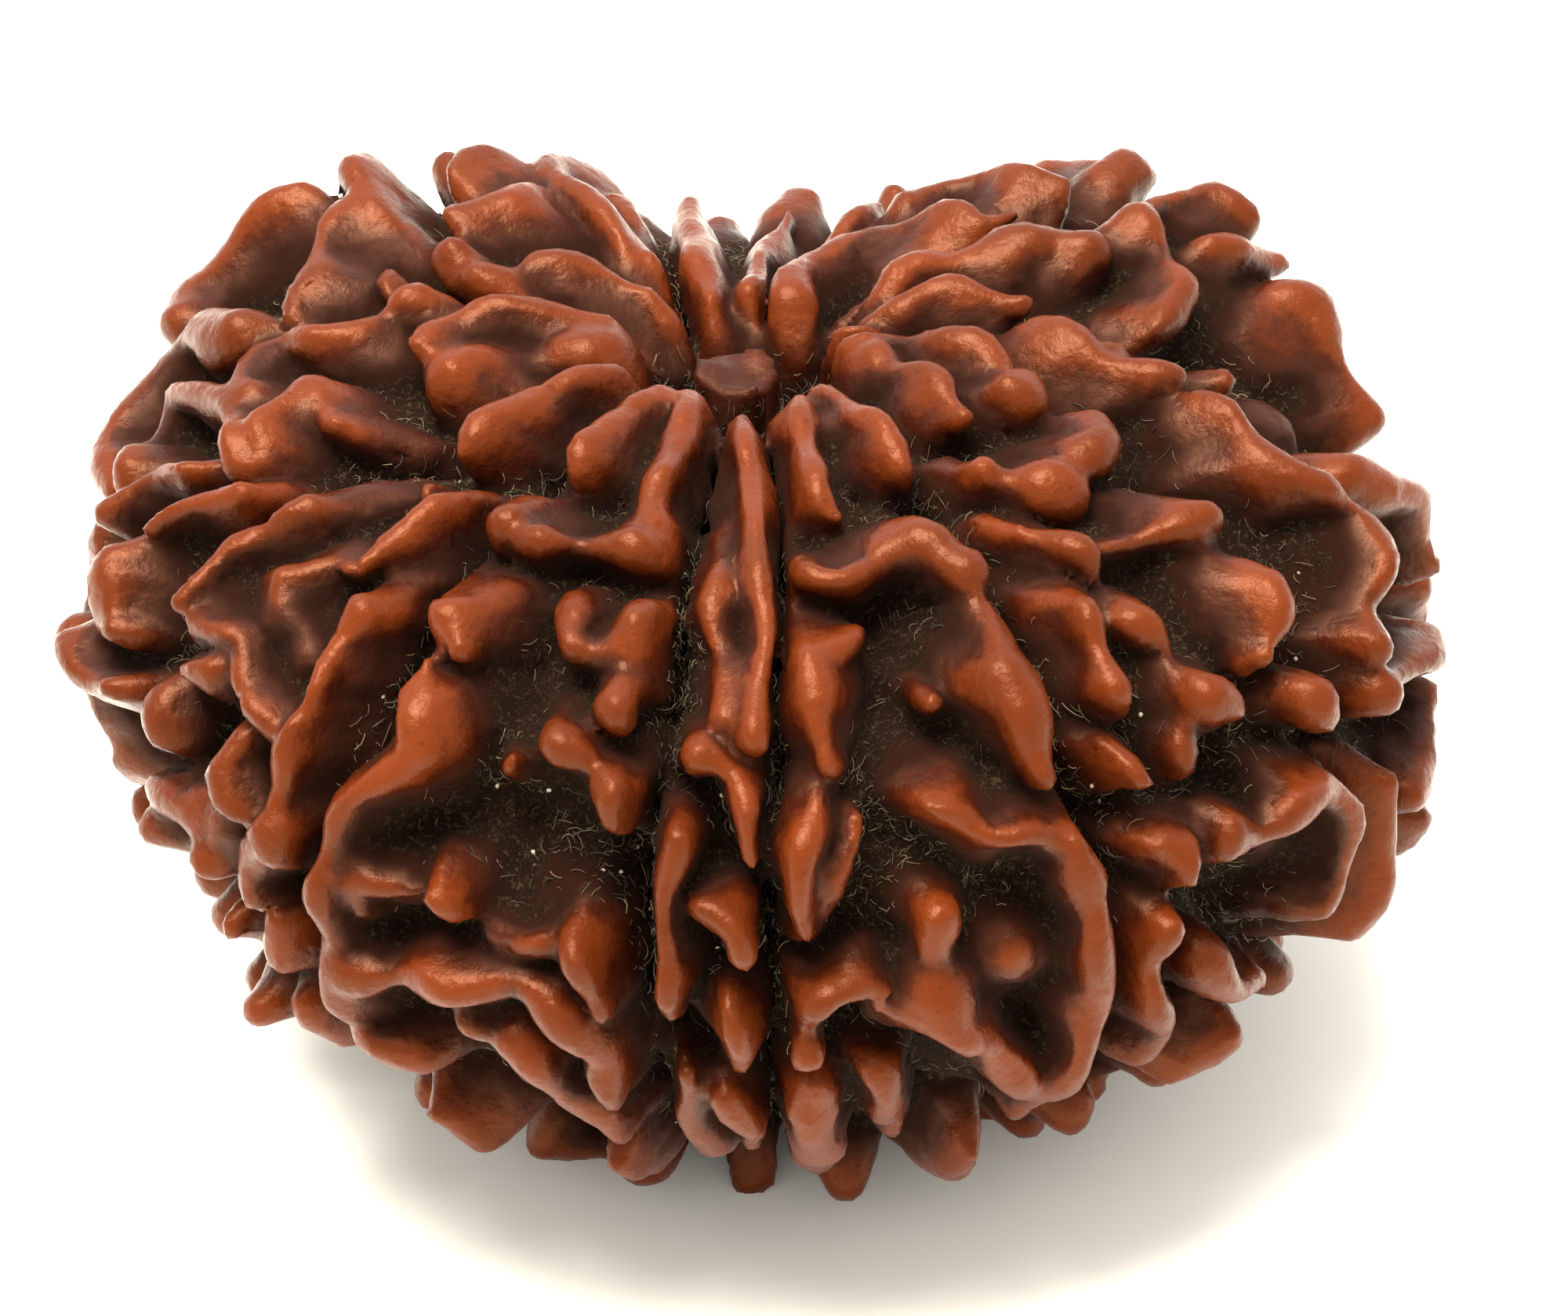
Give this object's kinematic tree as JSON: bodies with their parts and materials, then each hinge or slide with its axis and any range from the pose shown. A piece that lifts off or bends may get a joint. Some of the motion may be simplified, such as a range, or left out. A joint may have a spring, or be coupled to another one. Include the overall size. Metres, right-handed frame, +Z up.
{
  "type": "rudraksha bead",
  "caption": "Dried rudraksha fruit stone: a squat, rounded bead with deep furrows from pole to pole, knobbly branching ridges between them and a stalk pit on top.",
  "frame": {"origin": "under the middle of the bead's bounding box, on the surface that it rests on", "axes": "+Z up the bead's own axis, towards the stalk pit; -Y the side that the picture shows; +X to that side's right"},
  "size_m": [0.028, 0.0266, 0.0163],
  "materials": {
    "endocarp": "satin and smooth on the ridge tops, rough and nearly black in the valleys"
  },
  "bodies": {
    "root": {"rudraksha_bead": "endocarp"}
  },
  "joints": []
}
